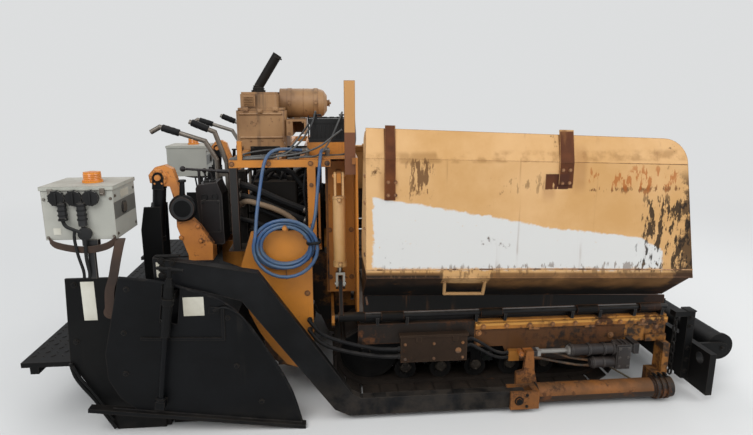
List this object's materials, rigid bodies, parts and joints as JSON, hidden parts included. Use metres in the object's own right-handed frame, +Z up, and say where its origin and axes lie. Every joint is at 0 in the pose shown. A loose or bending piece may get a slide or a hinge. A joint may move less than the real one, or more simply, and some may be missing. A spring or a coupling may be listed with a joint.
{
  "type": "asphalt paver",
  "caption": "Tracked asphalt paver with a folding hopper, slat conveyor, spreading augers and a towed screed that lifts and widens.",
  "frame": {"origin": "on the ground under the middle of the whole machine", "axes": "+X is the direction of travel, towards the hopper and push rollers; +Y is the machine's left; +Z is up"},
  "size_m": [3.8, 2.678, 1.9242],
  "materials": {
    "orange_paint": "chipped, faded gloss",
    "tan_paint": "faded, chalky",
    "black_iron": "worn matt with tar",
    "rusty_steel": "rusty",
    "bare_steel": "worn",
    "grey_box": "dull",
    "engine_black": "oily",
    "hose_black": "matt",
    "blue_hose": "satin"
  },
  "bodies": {
    "chassis": {"main_frame": "orange_paint", "side_plates": "orange_paint", "hopper_floor": "black_iron", "bulkhead": "orange_paint", "slat_conveyor": "bare_steel", "track_right": "rusty_steel", "track_left": "rusty_steel", "track_gear": "black_iron", "push_beam": "black_iron", "tow_links": "orange_paint", "tow_actuators": "grey_box", "auger_drive": "orange_paint", "engine": "engine_black", "engine_hood": "tan_paint", "air_cleaner": "tan_paint", "exhaust": "black_iron", "battery": "black_iron", "bay_frame": "orange_paint", "tanks": "orange_paint", "rear_deck": "black_iron", "console": "grey_box", "handrails": "bare_steel", "lift_posts": "orange_paint", "hydraulic_hoses": "hose_black", "side_boxes": "rusty_steel", "blue_hose_coil": "blue_hose", "blue_hose_lead": "blue_hose"},
    "screed": {"screed": "black_iron", "walkway": "black_iron", "tow_arms": "black_iron"},
    "push_roller_right": {"push_roller_right": "black_iron"},
    "auger_right": {"auger_right": "rusty_steel"},
    "wing_right": {"wing_right": "tan_paint"},
    "wing_barrel_right": {"wing_barrel_right": "tan_paint"},
    "wing_rod_right": {"wing_rod_right": "bare_steel"},
    "lift_barrel_right": {"lift_barrel_right": "black_iron"},
    "lift_rod_right": {"lift_rod_right": "bare_steel"},
    "extension_right": {"extension_right": "black_iron", "control_box_right": "grey_box"},
    "end_gate_right": {"end_gate_right": "black_iron"},
    "push_roller_left": {"push_roller_left": "black_iron"},
    "auger_left": {"auger_left": "rusty_steel"},
    "wing_left": {"wing_left": "tan_paint"},
    "wing_barrel_left": {"wing_barrel_left": "tan_paint"},
    "wing_rod_left": {"wing_rod_left": "bare_steel"},
    "lift_barrel_left": {"lift_barrel_left": "black_iron"},
    "lift_rod_left": {"lift_rod_left": "bare_steel"},
    "extension_left": {"extension_left": "black_iron", "control_box_left": "grey_box"},
    "end_gate_left": {"end_gate_left": "black_iron"}
  },
  "joints": [
    {"name": "screed_lift", "type": "hinge", "parent": "chassis", "child": "screed", "pos_m": [0.59, 0, 0.076], "axis": [0, 1, 0], "range_deg": [0, 6]},
    {"name": "push_roller_right_spin", "type": "hinge", "parent": "chassis", "child": "push_roller_right", "pos_m": [1.822, -0.61, 0.246], "axis": [0, 1, 0], "continuous": true},
    {"name": "auger_right_spin", "type": "hinge", "parent": "chassis", "child": "auger_right", "pos_m": [-0.63, -0.52, 0.25], "axis": [0, 1, 0], "continuous": true},
    {"name": "wing_right_fold", "type": "hinge", "parent": "chassis", "child": "wing_right", "pos_m": [0.6, -1.06, 0.497], "axis": [-1, 0, 0], "range_deg": [0, 50]},
    {"name": "wing_barrel_right_swing", "type": "hinge", "parent": "chassis", "child": "wing_barrel_right", "pos_m": [-0.332, -0.88, 1.225], "axis": [-1, 0, 0], "range_deg": [-7.35, 0.3]},
    {"name": "wing_rod_right_stroke", "type": "slide", "parent": "wing_barrel_right", "child": "wing_rod_right", "axis": [0, -0.0852, -0.9964], "range_m": [-0.002, 0.14491]},
    {"name": "lift_barrel_right_swing", "type": "hinge", "parent": "chassis", "child": "lift_barrel_right", "pos_m": [-1.275, -0.83, 1.228], "axis": [0, 1, 0], "range_deg": [-6.95, 0.3]},
    {"name": "lift_rod_right_stroke", "type": "slide", "parent": "lift_barrel_right", "child": "lift_rod_right", "axis": [-0.0931, 0, -0.9957], "range_m": [-0.20494, 0.002]},
    {"name": "extension_right_slide", "type": "slide", "parent": "screed", "child": "extension_right", "axis": [0, -1, 0], "range_m": [0, 0.45]},
    {"name": "end_gate_right_lift", "type": "slide", "parent": "extension_right", "child": "end_gate_right", "axis": [0.1392, 0, 0.9903], "range_m": [0, 0.1]},
    {"name": "push_roller_left_spin", "type": "hinge", "parent": "chassis", "child": "push_roller_left", "pos_m": [1.822, 0.61, 0.246], "axis": [0, 1, 0], "continuous": true},
    {"name": "auger_left_spin", "type": "hinge", "parent": "chassis", "child": "auger_left", "pos_m": [-0.63, 0.52, 0.25], "axis": [0, 1, 0], "continuous": true},
    {"name": "wing_left_fold", "type": "hinge", "parent": "chassis", "child": "wing_left", "pos_m": [0.6, 1.06, 0.497], "axis": [-1, 0, 0], "range_deg": [0, 50]},
    {"name": "wing_barrel_left_swing", "type": "hinge", "parent": "chassis", "child": "wing_barrel_left", "pos_m": [-0.332, 0.88, 1.225], "axis": [-1, 0, 0], "range_deg": [-4.8, 0.3]},
    {"name": "wing_rod_left_stroke", "type": "slide", "parent": "wing_barrel_left", "child": "wing_rod_left", "axis": [0, -0.0178, -0.9998], "range_m": [-0.15669, 0.002]},
    {"name": "lift_barrel_left_swing", "type": "hinge", "parent": "chassis", "child": "lift_barrel_left", "pos_m": [-1.275, 0.83, 1.228], "axis": [0, 1, 0], "range_deg": [-6.95, 0.3]},
    {"name": "lift_rod_left_stroke", "type": "slide", "parent": "lift_barrel_left", "child": "lift_rod_left", "axis": [-0.0931, 0, -0.9957], "range_m": [-0.20494, 0.002]},
    {"name": "extension_left_slide", "type": "slide", "parent": "screed", "child": "extension_left", "axis": [0, 1, 0], "range_m": [0, 0.45]},
    {"name": "end_gate_left_lift", "type": "slide", "parent": "extension_left", "child": "end_gate_left", "axis": [0.1392, 0, 0.9903], "range_m": [0, 0.1]}
  ],
  "couplings": [
    {"joint": "wing_barrel_right_swing", "follows": "wing_right_fold", "ratio": -0.14007},
    {"joint": "wing_rod_right_stroke", "follows": "wing_right_fold", "m_per_rad": 0.16279},
    {"joint": "lift_barrel_right_swing", "follows": "screed_lift", "ratio": -1.1025},
    {"joint": "lift_rod_right_stroke", "follows": "screed_lift", "m_per_rad": -1.9187},
    {"joint": "wing_barrel_left_swing", "follows": "wing_left_fold", "ratio": -0.091366},
    {"joint": "wing_rod_left_stroke", "follows": "wing_left_fold", "m_per_rad": -0.17603},
    {"joint": "lift_barrel_left_swing", "follows": "screed_lift", "ratio": -1.1025},
    {"joint": "lift_rod_left_stroke", "follows": "screed_lift", "m_per_rad": -1.9187}
  ]
}
